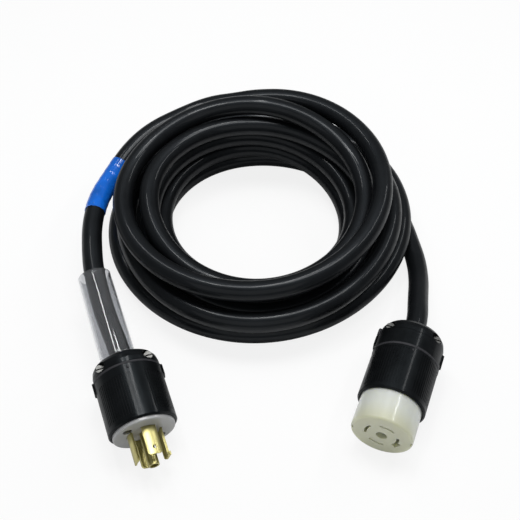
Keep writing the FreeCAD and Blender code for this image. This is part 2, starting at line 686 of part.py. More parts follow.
def nose():
    """The white nose: curved slots, the ground socket and a chamber behind each."""
    length = "nose_in + nose_out"
    disc = cylinder("nose_dia / 2", length, z=nose_rear)
    doc.recompute()
    rim = [number for number, edge in enumerate(disc.Shape.Edges, start=1)
           if edge.Vertexes[0].Z > size_of(conn_front) - 0.01 and len(edge.Vertexes) == 1]
    rounded = doc.addObject("Part::Fillet", "rounded")
    rounded.Base = disc
    rounded.Edges = [(number, size("nose_round"), size("nose_round")) for number in rim]
    low = nose_rear + " - 1"
    chamber = length + " - nose_wall + 1"
    tools = [
        cylinder("pin_dia / 2 + pole_fit", length + " + 2", z=low),
        cylinder(socket_outer + " + contact_room", chamber, z=low),
    ]
    for index in range(POLES):
        slot = wedge("blade_inner - pole_fit", blade_outer + " + pole_fit", "blade_span + 6",
                     length + " + 2", low)
        room = wedge("blade_inner - pole_fit", contact_outer + " + contact_room",
                     "blade_span + 6", chamber, low)
        tools.append(turned(slot, size("pole_turn") + 90 * index))
        tools.append(turned(room, size("pole_turn") + 90 * index))
    hook = wedge("blade_inner", blade_outer + " + hook_out + pole_fit", "hook_span + 6",
                 length + " + 2", low)
    tools.append(turned(hook, size("pole_turn") + (size("hook_span") - size("blade_span")) / 2))
    for side in (0, 180):
        nick = box("nose_nick_wide", "nose_nick", "nose_nick_deep + 1", "nose_nick_ring",
                   "-nose_nick / 2", conn_front + " - nose_nick_deep")
        tools.append(turned(nick, side))
    for angle in CONN_BOLTS:
        x, y = spots("conn_bolt_ring", [angle])[0]
        tools.append(cylinder("bolt_dia / 2 + slip_fit", "conn_bolt_grip + 2", x, y, low))
    return cut(rounded, *tools)


def contact(index):
    """One spring contact: a curved strip behind its slot."""
    strip = wedge(contact_inner, contact_outer, "blade_span",
                  "(" + contact_tip + ") - (" + conn_terminals + ")", conn_terminals)
    return turned(strip, size("pole_turn") + 90 * index)


def ground_contact():
    """The round socket for the ground pin and the strap to its terminal."""
    long = "(" + contact_tip + ") - (" + conn_terminals + ")"
    tube = cylinder(socket_outer, long, z=conn_terminals)
    bore = cylinder(socket_inner, long + " + 2", z=conn_terminals + " - 1")
    strap = box("conn_terminal_ring - terminal_box / 2 - pin_dia / 2 - pole_fit - contact_thick / 2",
                "strap_width", "strap_long", "pin_dia / 2 + pole_fit + contact_thick / 2",
                "-strap_width / 2", conn_terminals)
    return turned(join(cut(tube, bore), strap), size("pole_turn") + size("terminal_turn"))


keep("connector_shell",
     shell("conn_shell_end", "conn_bolt_ring", CONN_BOLTS, conn_rear, "conn_rib_start"), CONN)
keep("connector_jaw_upper", jaw(1), CONN)
keep("connector_jaw_lower", jaw(-1), CONN)
keep("connector_clamp_screws", clamp_screws(), CONN)
keep("connector_seal", seal(), CONN)
keep("connector_terminal_clamps", terminal_boxes(conn_terminals, "conn_terminal_ring"), CONN)
keep("connector_terminal_screws", terminal_screws(conn_terminals, "conn_terminal_ring"), CONN)
keep("connector_carrier",
     carrier(conn_rear, "conn_carrier_deep", "conn_terminal_ring", contact_inner, contact_outer,
             conn_terminals, "conn_bolt_ring", CONN_BOLTS, socket_outer), CONN)
for index, name in enumerate(["neutral", "line_1", "line_2", "line_3"]):
    keep("connector_contact_" + name, contact(index), CONN)
keep("connector_ground_contact", ground_contact(), CONN)
keep("connector_nose", nose(), CONN)
keep("connector_assembly_screws",
     bolts("conn_bolt_ring", CONN_BOLTS, "clamp_length", False, "clamp_length - bolt_head / 2",
           nose_rear + " + conn_bolt_grip"), CONN)

# Routes: straight runs joined by tangent arcs


def rounded_route(points):
    """Edges through points: each arc is as large as its two runs allow."""
    edges = []
    radii = []
    start = points[0]
    for before, corner, after in zip(points, points[1:], points[2:]):
        towards = corner - before
        away = after - corner
        half = towards.getAngle(away) / 2
        reach = 0.45 * min(towards.Length, away.Length)
        radii.append(reach / math.tan(half))
        first = corner - VECTOR(towards).normalize() * reach
        last = corner + VECTOR(away).normalize() * reach
        inside = (first + last) * 0.5 - corner
        sag = radii[-1] / math.cos(half) - radii[-1]
        middle = corner + VECTOR(inside).normalize() * sag
        edges.append(Part.LineSegment(start, first).toShape())
        edges.append(Part.Arc(first, middle, last).toShape())
        start = last
    edges.append(Part.LineSegment(start, points[-1]).toShape())
    return edges, radii


def tube(edges, radius):
    """A round tube along edges, checked against its section times its length."""
    wire = Part.Wire(edges)
    start = edges[0].Vertexes[0].Point
    ahead = edges[0].tangentAt(edges[0].FirstParameter)
    ring = Part.Wire(Part.makeCircle(radius, start, ahead))
    solid = wire.makePipeShell([ring], True, False)
    expected = math.pi * radius ** 2 * wire.Length
    if abs(solid.Volume / expected - 1) > 0.02:
        raise ValueError("a tube's volume is %.0f and not %.0f" % (solid.Volume, expected))
    return solid, wire.Length


def cores(placement, terminals, terminal_ring, label):
    """Five insulated conductors from the jacket's end to their terminals."""
    radius = size("core_dia") / 2
    near = size("jacket_end")
    far = size_of(terminals)
    ring = size("core_ring")
    wide = size(terminal_ring)
    for name, leave, arrive in CORES:
        start = math.radians(leave)
        end = math.radians(size("pole_turn") + arrive)
        inner = VECTOR(ring * math.cos(start), ring * math.sin(start), 0)
        outer = VECTOR(wide * math.cos(end), wide * math.sin(end), 0)
        points = [
            inner + ALONG * near,
            inner + ALONG * (near + CORE_STRAIGHT),
            outer + ALONG * (far - CORE_STRAIGHT + 1),
            outer + ALONG * (far + CORE_STRAIGHT),
        ]
        edges, radii = rounded_route(points)
        solid, length = tube(edges, radius)
        node(label + "_core_" + name, solid, placement)


def node(label, shape, placement=None):
    """A piece whose shape is made here from the sheet's sizes."""
    thing = doc.addObject("Part::Feature", label)
    thing.Shape = shape
    if placement is not None:
        thing.Placement = placement
    thing.Label = label
    pieces[label] = thing


CORE_STRAIGHT = 5.0
CORES = [
    ("white", -70.0, 0.0),
    ("green", 2.0, 45.0),
    ("black", 74.0, 90.0),
    ("red", 146.0, 180.0),
    ("orange", 218.0, 270.0),
]
cores(PLUG, plug_terminals, "plug_terminal_ring", "plug")
cores(CONN, conn_terminals, "conn_terminal_ring", "connector")

# Coil: the cable's place at the rear, the right, the front and the left of each turn,
# as radius and height of its centre line. It winds clockwise, seen from above.

TURNS = [
    [(111.5, 77.5), (117.5, 79.5), (119, 63.5), (123, 64.5)],
    [(86, 92), (102.5, 65), (105.5, 48.5), (98.5, 66)],
    [(78, 72.5), (110, 45.5), (116, 29), (98.5, 46)],
    [(87.5, 49.5), (94.5, 32), (90.5, 29.5), (89, 28.5)],
    [(91.5, 30), (91, 12.5), (85.5, 9.5), (93.5, 9.5)],
    [(98, 9.5), (115.5, 9.5), (105.5, 11), (111, 18.5)],
    [(112.5, 26), (128.5, 51), (133.5, 37.5), (123, 38.5)],
    [(134, 29), (141, 29.5), (125.5, 10), (134, 14)],
    [(131, 9.5), (146, 10)],
]
EASE = 0.8
FIRST_SLOPE = (12.0, 20.0)
LAST_SLOPE = (40.0, 0.0)
QUARTER = math.pi / 2
REAR = math.pi / 2


def coil_stations():
    """Points and headings of the centre line, a quarter turn apart."""
    rings = [place for turn in TURNS for place in turn]
    slopes = [FIRST_SLOPE]
    for before, after in zip(rings, rings[2:]):
        slopes.append((EASE * (after[0] - before[0]) / 2, EASE * (after[1] - before[1]) / 2))
    slopes.append(LAST_SLOPE)
    middle = VECTOR(size("coil_x"), size("coil_y"), 0)
    stations = []
    for index, ((radius, height), (grow, climb)) in enumerate(zip(rings, slopes)):
        angle = REAR - index * QUARTER
        outward = VECTOR(math.cos(angle), math.sin(angle), 0)
        onward = VECTOR(math.sin(angle), -math.cos(angle), 0)
        heading = onward * radius + outward * (grow / QUARTER) + ALONG * (climb / QUARTER)
        stations.append((middle + outward * radius + ALONG * height, heading.normalize()))
    return stations


def arc_from(start, heading, end):
    """The arc that leaves a point along a heading and reaches another."""
    chord = end - start
    along = VECTOR(chord).normalize()
    turn = heading.getAngle(chord)
    side = (heading - along * heading.dot(along)).normalize()
    middle = (start + end) * 0.5 + side * (chord.Length / 2 * math.tan(turn / 2))
    return Part.Arc(start, middle, end).toShape()


def biarc(start, heading, end, leaving):
    """Two arcs that meet smoothly between two stations."""
    gap = end - start
    total = heading + leaving
    square = 2 * (heading.dot(leaving) - 1)
    linear = -2 * gap.dot(total)
    root = math.sqrt(linear ** 2 - 4 * square * gap.dot(gap))
    reach = (-linear - root) / (2 * square)
    if reach < 0:
        reach = (-linear + root) / (2 * square)
    joint = (start + heading * reach + end - leaving * reach) * 0.5
    second = (end - leaving * reach - joint).normalize()
    return [arc_from(start, heading, joint), arc_from(joint, second, end)]


HALF_TURN = 250.0
NEAR = 25.0


def least_gap(edges, radius, step):
    """The least space between two turns, measured between points of the centre line."""
    points = []
    for edge in edges:
        points += edge.discretize(Distance=step)[:-1]
    apart = int(HALF_TURN / step)
    nearest = (1e9, None)
    for index, point in enumerate(points):
        for other in points[index + apart:]:
            if abs(other.x - point.x) > NEAR or abs(other.y - point.y) > NEAR:
                continue
            reach = point.distanceToPoint(other)
            if reach < nearest[0]:
                nearest = (reach, point)
    return nearest[0] - 2 * radius, nearest[1]


stations = coil_stations()
first_point, first_heading = stations[0]
last_point, last_heading = stations[-1]
coil_start = first_point - first_heading * size("cable_dia")
coil_end = last_point + last_heading * size("cable_dia")
coil_edges = [Part.LineSegment(coil_start, first_point).toShape()]
for (start, heading), (end, leaving) in zip(stations, stations[1:]):
    coil_edges += biarc(start, heading, end, leaving)
coil_edges.append(Part.LineSegment(last_point, coil_end).toShape())
CABLE = size("cable_dia") / 2
coil, coil_length = tube(coil_edges, CABLE)
node("cable_coil", coil)
space, where = least_gap(coil_edges, CABLE, 4.0)
tightest = min(edge.Curve.Radius for edge in coil_edges[1:-1])
print("coil: %.0f mm of cable, least gap %.2f mm near %s, tightest arc %.0f mm"
      % (coil_length, space, tuple(round(value) for value in where), tightest))

# Leads: hand-set points from each housing to the coil


def inside(placement, x, y, z):
    """A point given in a housing's frame."""
    return placement.multVec(VECTOR(x, y, z))


def coil_place(x, y, z):
    """A point given from the coil's centre on the floor."""
    return VECTOR(size("coil_x") + x, size("coil_y") + y, z)


plug_route = [
    inside(PLUG, 0, 0, size("jacket_end")),
    inside(PLUG, 0, 0, -12),
    coil_place(-130.5, -127, 41.5),
    coil_place(-144.0, -85, 46.0),
    coil_place(-148.3, -60, 48.0),
    coil_place(-151.4, -31.0, 49.4),
    coil_place(-149.0, 1.0, 50.0),
    coil_place(-138.2, 29.4, 50.5),
    coil_place(-123.5, 58.7, 56.8),
    coil_place(-103.4, 81.9, 61.4),
    coil_place(-76.2, 99.1, 64.3),
    coil_start - first_heading * 28,
    coil_start,
]
conn_route = [
    coil_end,
    coil_end + last_heading * 24,
    coil_place(152.8, -68.0, 13.0),
    coil_place(147.8, -95.7, 20.9),
    inside(CONN, 0, 0, -14),
    inside(CONN, 0, 0, size("jacket_end")),
]
plug_edges, plug_radii = rounded_route(plug_route)
conn_edges, conn_radii = rounded_route(conn_route)
plug_lead, plug_lead_length = tube(plug_edges, CABLE)
conn_lead, conn_lead_length = tube(conn_edges, CABLE)
node("plug_lead", plug_lead)
node("connector_lead", conn_lead)
print("leads: %.0f and %.0f mm, whole cable %.2f m" % (
    plug_lead_length, conn_lead_length,
    (coil_length + plug_lead_length + conn_lead_length) / 1000))
print("radii of the plug's lead:", [round(value) for value in plug_radii])
print("radii of the connector's lead:", [round(value) for value in conn_radii])

# The tape covers the lead from the middle of one run to the middle of another
TAPE_FROM = 5
TAPE_TO = 7


def half_run(edges, run, first_half):
    """The first or the second half of a straight run."""
    line = edges[2 * run]
    start, end = (vertex.Point for vertex in line.Vertexes)
    middle = (start + end) * 0.5
    ends = (start, middle) if first_half else (middle, end)
    return Part.LineSegment(*ends).toShape()


tape_edges = [half_run(plug_edges, TAPE_FROM, False)]
tape_edges += plug_edges[2 * TAPE_FROM + 1:2 * TAPE_TO]
tape_edges.append(half_run(plug_edges, TAPE_TO, True))
tape_outer, tape_length = tube(tape_edges, CABLE + size("tape_fit") + size("tape_build"))
tape_inner, tape_length = tube(tape_edges, CABLE + size("tape_fit"))
node("blue_tape", tape_outer.cut(tape_inner))
print("tape: %.0f mm long" % tape_length)

# The clear sleeve hangs on the lead just behind the plug
sleeve_far = coil_place(-144.0, -85, 46.0)
sleeve_near = inside(PLUG, 0, 0, 0)
sleeve_axis = (sleeve_far - sleeve_near).normalize()
sleeve_turn = FreeCAD.Rotation(ALONG, sleeve_axis)
sleeve = cut(cylinder("sleeve_bore / 2 + sleeve_wall", "sleeve_length"),
             cylinder("sleeve_bore / 2", "sleeve_length + 2", z="-1"))
sleeve_lean = sleeve_axis.getAngle(PLUG.Rotation.multVec(-ALONG))
sleeve_off = size("sleeve_gap") + (size("sleeve_bore") / 2 + size("sleeve_wall")) * math.tan(sleeve_lean)
keep("clear_sleeve", sleeve, FreeCAD.Placement(sleeve_near + sleeve_axis * sleeve_off, sleeve_turn))


def show(label, vector):
    """Print a place or a direction in millimetres."""
    print(label, ", ".join("%.5f" % value for value in vector))


show("sleeve axis", sleeve_axis)
show("plug clamp opens along", PLUG.Rotation.multVec(VECTOR(0, 1, 0)))
show("connector clamp opens along", CONN.Rotation.multVec(VECTOR(0, 1, 0)))
show("plug face", inside(PLUG, 0, 0, PLUG_LONG))
show("plug axis", PLUG.Rotation.multVec(ALONG))
show("connector face", inside(CONN, 0, 0, CONN_LONG))
show("connector axis", CONN.Rotation.multVec(ALONG))

doc.recompute()
for thing in doc.Objects:
    if "Invalid" in thing.State or "Error" in thing.State:
        raise ValueError("failed: " + thing.Label)
for label, thing in pieces.items():
    if thing.Shape.isNull() or not thing.Shape.isValid():
        raise ValueError("no valid shape: " + label)
os.makedirs("parts", exist_ok=True)
for label, thing in pieces.items():
    thing.Shape.exportStep("parts/" + label + ".step")
print("%d nodes" % len(pieces))
housings = Part.makeCompound([thing.Shape for label, thing in pieces.items()
                              if label.startswith(("plug_", "connector_")) and "lead" not in label])
limits = housings.BoundBox
print("housings: X %.2f to %.2f, Y %.2f to %.2f, Z %.2f to %.2f" % (
    limits.XMin, limits.XMax, limits.YMin, limits.YMax, limits.ZMin, limits.ZMax))
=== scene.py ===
"""Shore power cord: the looks of a coiled cable with a locking plug and its connector."""

import math
from collections import namedtuple

import bmesh
import bpy
from bpy.props import FloatProperty, FloatVectorProperty, PointerProperty
from bpy.types import Operator, Panel, PropertyGroup
from mathutils import Matrix, Vector, noise
from mathutils.geometry import interpolate_bezier


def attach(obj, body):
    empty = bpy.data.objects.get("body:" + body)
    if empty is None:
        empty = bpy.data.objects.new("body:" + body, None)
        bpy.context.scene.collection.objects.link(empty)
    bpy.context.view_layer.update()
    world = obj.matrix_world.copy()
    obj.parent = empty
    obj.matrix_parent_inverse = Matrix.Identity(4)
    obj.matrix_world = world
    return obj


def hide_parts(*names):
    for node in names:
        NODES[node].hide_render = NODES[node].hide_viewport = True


bl_info = {
    "name": "Shore Power Cord",
    "version": (1, 0, 0),
    "blender": (4, 5, 0),
    "location": "3D View > Sidebar > Power Cord",
    "description": "Builds the cable, the two housings, the sleeve, the tape and a plain stage",
    "category": "Add Mesh",
}

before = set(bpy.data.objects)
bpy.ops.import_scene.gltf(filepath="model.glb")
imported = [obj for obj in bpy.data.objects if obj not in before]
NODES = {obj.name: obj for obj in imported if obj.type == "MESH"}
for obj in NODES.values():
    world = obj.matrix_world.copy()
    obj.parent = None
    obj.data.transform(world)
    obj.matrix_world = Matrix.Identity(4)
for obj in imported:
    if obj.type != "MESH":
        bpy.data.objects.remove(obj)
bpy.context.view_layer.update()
MM = 0.001
UP = Vector((0, 0, 1))
QUARTER = math.pi / 2


# Places and sizes, as in the part's source, in metres

SHELL_RADIUS = 57.4 * MM / 2
CABLE_DIAMETER = 18.5 * MM
COIL_MIDDLE = Vector((-13.5, 199.9, 0)) * MM

# How far the cable reaches into a housing, and how far it runs straight outside each
JACKET_END = 20 * MM
PLUG_EXIT = 12 * MM
CONNECTOR_EXIT = 14 * MM
# How far it runs straight beyond the coil's two ends, past one diameter
COIL_RUN_IN = 28 * MM
COIL_RUN_OUT = 24 * MM


def housing_frame(x, y, turn, pitch, length, lowest_at):
    """A housing's own frame: Z runs from its cable entry to its face, Y is up.

    The face stands over x and y, turn and pitch are in degrees, and lowest_at is how far from
    the entry the housing touches the floor.
    """
    lean = math.radians(pitch)
    height = SHELL_RADIUS * math.cos(lean) + lowest_at * math.sin(lean)
    turned = Matrix.Rotation(math.radians(turn), 4, "Z") @ Matrix.Rotation(QUARTER + lean, 4, "X")
    ahead = turned @ UP
    entry = Vector((x, y, height)) - Vector((ahead.x, ahead.y, 0)) * length
    return Matrix.Translation(entry) @ turned


PLUG_LONG = 67 * MM
CONNECTOR_LONG = 103 * MM
PLUG = housing_frame(x=-102 * MM, y=-35.6 * MM, turn=19.5, pitch=7, length=PLUG_LONG,
                     lowest_at=62.8 * MM)
CONNECTOR = housing_frame(x=88.5 * MM, y=-38.1 * MM, turn=-20.5, pitch=0, length=CONNECTOR_LONG,
                          lowest_at=0)

# Each turn's radius and height at the rear, the right, the front and the left, in millimetres
TURNS = [
    [(111.5, 77.5), (117.5, 79.5), (119, 63.5), (123, 64.5)],
    [(86, 92), (102.5, 65), (105.5, 48.5), (98.5, 66)],
    [(78, 72.5), (110, 45.5), (116, 29), (98.5, 46)],
    [(87.5, 49.5), (94.5, 32), (90.5, 29.5), (89, 28.5)],
    [(91.5, 30), (91, 12.5), (85.5, 9.5), (93.5, 9.5)],
    [(98, 9.5), (115.5, 9.5), (105.5, 11), (111, 18.5)],
    [(112.5, 26), (128.5, 51), (133.5, 37.5), (123, 38.5)],
    [(134, 29), (141, 29.5), (125.5, 10), (134, 14)],
    [(131, 9.5), (146, 10)],
]
FIRST_RADIUS, FIRST_HEIGHT = TURNS[0][0]
LAST_RADIUS, LAST_HEIGHT = TURNS[-1][-1]
# Growth of radius and height per quarter turn at the coil's two ends, and the share of the
# slope between its neighbours that every other place takes
FIRST_SLOPE = Vector((12, 20))
LAST_SLOPE = Vector((40, 0))
EASE = 0.8
POINTS_PER_QUARTER = 6


def coil_place(x, y, z):
    """A point given in millimetres from the coil's centre on the floor."""
    return COIL_MIDDLE + Vector((x, y, z)) * MM


def coil_points():
    """Control points of the coil, clockwise from the rear."""
    rings = [Vector(place) for turn in TURNS for place in turn]
    slopes = [FIRST_SLOPE]
    slopes += [(after - before) * EASE / 2 for before, after in zip(rings, rings[2:])]
    slopes.append(LAST_SLOPE)
    # the curve takes 3/4 of a control point and 1/4 of its neighbours' mean, so the points
    # stand out by as much as it runs inside them
    outward = 1 / (3 / 4 + math.cos(QUARTER / POINTS_PER_QUARTER) / 4)
    points = []
    for quarter in range(len(rings) - 1):
        near, far = rings[quarter], rings[quarter + 1]
        places = interpolate_bezier(
            near.to_3d(), (near + slopes[quarter] / 3).to_3d(),
            (far - slopes[quarter + 1] / 3).to_3d(), far.to_3d(), POINTS_PER_QUARTER + 1)
        for step, place in enumerate(places[:-1]):
            angle = QUARTER * (1 - quarter - step / POINTS_PER_QUARTER)
            reach = place.x * outward
            points.append(coil_place(reach * math.cos(angle), reach * math.sin(angle), place.y))
    return points


FIRST = coil_place(0, FIRST_RADIUS, FIRST_HEIGHT)
FIRST_HEADING = Vector((FIRST_RADIUS, *FIRST_SLOPE / QUARTER)).normalized()
LAST = coil_place(LAST_RADIUS, 0, LAST_HEIGHT)
LAST_HEADING = Vector((LAST_SLOPE.x / QUARTER, -LAST_RADIUS, 0)).normalized()
COIL_START = FIRST - FIRST_HEADING * CABLE_DIAMETER
COIL_END = LAST + LAST_HEADING * CABLE_DIAMETER

PLUG_ROUTE = [
    PLUG @ Vector((0, 0, JACKET_END)),
    PLUG @ Vector((0, 0, -PLUG_EXIT)),
    coil_place(-130.5, -127, 41.5),
    coil_place(-144, -85, 46),
    coil_place(-148.3, -60, 48),
    coil_place(-151.4, -31, 49.4),
    coil_place(-149, 1, 50),
    coil_place(-138.2, 29.4, 50.5),
    coil_place(-123.5, 58.7, 56.8),
    coil_place(-103.4, 81.9, 61.4),
    coil_place(-76.2, 99.1, 64.3),
    COIL_START - FIRST_HEADING * COIL_RUN_IN,
    COIL_START,
]
CONNECTOR_ROUTE = [
    LAST,
    COIL_END,
    COIL_END + LAST_HEADING * COIL_RUN_OUT,
    coil_place(152.8, -68, 13),
    coil_place(147.8, -95.7, 20.9),
    CONNECTOR @ Vector((0, 0, -CONNECTOR_EXIT)),
    CONNECTOR @ Vector((0, 0, JACKET_END)),
]
# The tape starts and ends midway after these points of the plug's route, and the sleeve lies
# towards this one
TAPE_RUNS = (5, 7)
SLEEVE_TOWARDS = PLUG_ROUTE[3]


# Sizes that only the looks have, in metres

TAPE_WIDTH = 19 * MM
TAPE_ADVANCE = 0.55  # share of the width that each turn moves on
TAPE_TILT = 1.2 * MM  # how far each end runs out of square
TAPE_TILT_TURN = 0.6  # radians by which the tilt is turned round the cable
TAPE_EDGE = 0.12  # share of a turn in which the lap's edge rises
TAPE_THIN = 0.62  # share of the build at its thinnest
TAPE_LAP = 0.3  # share of the build that the lap adds
TAPE_RIPPLE = 0.05 * MM
TAPE_RIPPLES_PER_METRE = 60
TAPE_GAP = 0.02 * MM  # to the cable
TAPE_FOLD = 0.3 * MM  # how far the two ends fold in past that gap
TAPE_FACETS = 72
TAPE_RINGS = 68

SLEEVE_START = 1.2 * MM  # beyond the plug's cable entry
# The two ends lean sideways off the line that the lead runs on
SLEEVE_NEAR_LEAN = Vector((-3.2 * MM, 0, 0))
SLEEVE_FAR_LEAN = Vector((-0.8 * MM, 0, 0))
SLEEVE_LIP = 0.35 * MM  # rounding of its edges
SLEEVE_OVAL = 0.075  # share by which it is wider at its start, and less high
SLEEVE_OVAL_LOSS = 0.045  # how much less oval its other end is
SLEEVE_ROWS = 24
SLEEVE_FACETS = 72

RIM_SUNK = 0.4 * MM  # depth in the shell
RIM_PROUD = 0.3 * MM  # height over the shell
RIM_SOFT = 0.3 * MM
RIM_FACET = 4  # degrees

# A pointer is a wedge with three sides, made narrower across the housing
POINTER_FOOT = 2.6 * MM
POINTER_TOP = 1.8 * MM
POINTER_DEPTH = 1.7 * MM
POINTER_NARROW = 0.75
POINTER_SOFT = 0.15 * MM
POINTER_MIDDLE = 2.2 * MM  # beyond its start

EAR_SIZE = Vector((4, 5, 7)) * MM
EAR_SOFT = 1.2 * MM
EAR_ANGLE = 172  # degrees round the housing
EAR_PLACE = Vector((SHELL_RADIUS - 0.6 * MM, 0, 9.6 * MM))

NOSE_SHADE_REACH = 16 * MM  # how far back the shade painted on its front fades

WORLD_COLOUR = (0.92, 0.97, 1, 1)
FLOOR_SIZE = 4  # metres from its middle to a side
FLOOR_DROP = 0.2 * MM
FLOOR_GLOW = 0.84  # share that is plain white to the camera, while the rest takes the shadows

# Lamps stand at a place, face a target, have their long side along a direction, and take a
# share of a setting's power
Lamp = namedtuple("Lamp", "setting share place target along spans")
LAMPS = {
    "ceiling_lamp": Lamp("ceiling", 1, place=(0.05, 0.3, 1.3), target=(0, 0.15, 0),
                         along=(1, 0, 0), spans=(0.8, 0.3)),
    "right_strip": Lamp("strips", 1, place=(0.67, 0.455, 0.89), target=(0.1, 0.02, 0.05),
                        along=(0.35, 0.937, 0), spans=(0.7, 0.07)),
    "left_strip": Lamp("strips", 1, place=(-0.36, 0.48, 1.04), target=(-0.14, 0.07, 0.04),
                       along=(-0.353, 0.93, 0.104), spans=(0.6, 0.07)),
    "short_strip": Lamp("strips", 0.8, place=(-0.015, 0.457, 1.1), target=(-0.145, 0.24, 0.055),
                        along=(0.44, 0.877, 0), spans=(0.25, 0.08)),
    "front_lamp": Lamp("front", 1, place=(-0.2, -1.0, 0.9), target=(0, 0.05, 0),
                       along=(1, 0, 0), spans=(1.7, 1.0)),
}

CORE_COLOURS = {
    "white": (0.75, 0.75, 0.72),
    "green": (0.02, 0.22, 0.06),
    "black": (0.015, 0.015, 0.016),
    "red": (0.42, 0.02, 0.015),
    "orange": (0.62, 0.16, 0.015),
}
SEAL_COLOUR = (0.02, 0.02, 0.02)
CARRIER_COLOUR = (0.3, 0.3, 0.31)
VINYL_COLOUR = (0.62, 0.63, 0.65)


# Settings


class StageSettings(PropertyGroup):
    """Camera, lamps and floor."""

    lens: FloatProperty(name="Lens", description="Focal length", default=63.69, unit="CAMERA")
    camera_place: FloatVectorProperty(
        name="Camera", description="Where the camera stands", size=3,
        default=(-0.009, -0.3936, 0.692), subtype="TRANSLATION")
    camera_tilt: FloatProperty(
        name="Tilt", description="Camera's tilt from straight down", default=math.radians(39),
        subtype="ANGLE")
    floor_colour: FloatVectorProperty(
        name="Floor", description="Colour of the floor", size=3, default=(0.95, 0.95, 0.95),
        subtype="COLOR")
    ceiling: FloatProperty(
        name="Ceiling", description="Power of the broad lamp above", default=7.0, min=0,
        unit="POWER")
    strips: FloatProperty(
        name="Strips", description="Power of the two longer narrow lamps", default=2.0, min=0,
        unit="POWER")
    front: FloatProperty(
        name="Front", description="Power of the broad lamp in front", default=3.6, min=0,
        unit="POWER")
    world_light: FloatProperty(
        name="Surroundings", description="Light from all round", default=0.2, min=0)


class CableSettings(PropertyGroup):
    """The cable, the tape and the sleeve."""

    diameter: FloatProperty(
        name="Diameter", description="Outside of the cable", default=CABLE_DIAMETER,
        unit="LENGTH", precision=4)
    rubber: FloatVectorProperty(
        name="Rubber", description="Colour of the cable's jacket", size=3,
        default=(0.0045, 0.005, 0.0057), subtype="COLOR")
    tape: FloatVectorProperty(
        name="Tape", description="Colour of the wrapped tape", size=3,
        default=(0.006, 0.12, 0.56), subtype="COLOR")
    tape_build: FloatProperty(
        name="Tape Build", description="Thickness of the wrapped tape", default=0.7 * MM,
        unit="LENGTH", precision=5)
    sleeve_bore: FloatProperty(
        name="Sleeve Bore", description="Inside of the clear sleeve", default=25 * MM,
        unit="LENGTH", precision=4)
    sleeve_wall: FloatProperty(
        name="Sleeve Wall", description="Wall of the clear sleeve", default=1.5 * MM,
        unit="LENGTH", precision=5)
    sleeve_length: FloatProperty(
        name="Sleeve Length", description="Length of the clear sleeve", default=88 * MM,
        unit="LENGTH", precision=4)


class HousingSettings(PropertyGroup):
    """The plug and the connector."""

    black: FloatVectorProperty(
        name="Shells", description="Colour of the black mouldings", size=3,
        default=(0.0045, 0.005, 0.0055), subtype="COLOR")
    white: FloatVectorProperty(
        name="Nose", description="Colour of the connector's white nose", size=3,
        default=(0.70, 0.72, 0.66), subtype="COLOR")
    # Painted shade: the nose's front takes this darker, greener colour for the shade it lies in
    front_shade: FloatVectorProperty(
        name="Shaded Nose", description="Colour of the nose's yellowed front", size=3,
        default=(0.60, 0.60, 0.44), subtype="COLOR")
    face: FloatVectorProperty(
        name="Face", description="Colour of the plug's pale face", size=3,
        default=(0.38, 0.38, 0.38), subtype="COLOR")
    brass: FloatVectorProperty(
        name="Brass", description="Colour of the blades and the pin", size=3,
        default=(0.54, 0.49, 0.21), subtype="COLOR")
    steel: FloatVectorProperty(
        name="Screws", description="Colour of the plated screws", size=3,
        default=(0.13, 0.13, 0.125), subtype="COLOR")


# Materials


def set_sockets(shader, values):
    """Set a shader's own sockets from a table of names and values."""
    for name, value in values.items():
        shader.inputs[name].default_value = value


def principled(name, colour, roughness, more=None):
    """A plain material and its shader node, with more sockets set if a table is given."""
    material = bpy.data.materials.new(name)
    material.use_nodes = True
    shader = material.node_tree.nodes["Principled BSDF"]
    set_sockets(shader, {"Base Color": (*colour, 1), "Roughness": roughness, **(more or {})})
    return material, shader


def add_node(material, kind, **values):
    """A node of a material with some of its sockets or settings given."""
    node = material.node_tree.nodes.new(kind)
    for name, value in values.items():
        if name in node.inputs:
            node.inputs[name].default_value = value
        else:
            setattr(node, name, value)
    return node


def link(material, source, target):
    """Join two sockets."""
    material.node_tree.links.new(source, target)


def object_noise(material, scale, detail, stretch=(1, 1, 1), roughness=0.5):
    """Noise on object coordinates, in cells per metre."""
    place = add_node(material, "ShaderNodeTexCoord")
    mapping = add_node(material, "ShaderNodeMapping")
    mapping.inputs["Scale"].default_value = stretch
    texture = add_node(
        material, "ShaderNodeTexNoise", Scale=scale, Detail=detail, Roughness=roughness)
    link(material, place.outputs["Object"], mapping.inputs["Vector"])
    link(material, mapping.outputs["Vector"], texture.inputs["Vector"])
    return texture.outputs["Fac"]


def spread(material, source, low, high, start=0.3, end=0.7):
    """A value that goes from low to high as its source goes from start to end."""
    ranged = add_node(material, "ShaderNodeMapRange")
    for name, value in (("From Min", start), ("From Max", end), ("To Min", low), ("To Max", high)):
        ranged.inputs[name].default_value = value
    link(material, source, ranged.inputs["Value"])
    return ranged.outputs["Result"]


def tint(material, source, low, high):
    """A colour between two that follows a source."""
    mix = add_node(material, "ShaderNodeMix", data_type="RGBA")
    link(material, spread(material, source, 0, 1), mix.inputs[0])
    mix.inputs[6].default_value = (*low, 1)
    mix.inputs[7].default_value = (*high, 1)
    return mix.outputs[2]


def bumped(material, shader, heights):
    """Bump from pairs of a height source and a depth in metres."""
    above = None
    for source, depth in heights:
        bump = add_node(material, "ShaderNodeBump", Strength=1.0, Distance=depth)
        link(material, source, bump.inputs["Height"])
        if above is not None:
            link(material, above, bump.inputs["Normal"])
        above = bump.outputs["Normal"]
    link(material, above, shader.inputs["Normal"])


def shade(colour, share):
    """A colour made lighter or darker."""
    return tuple(min(1.0, value * share) for value in colour)


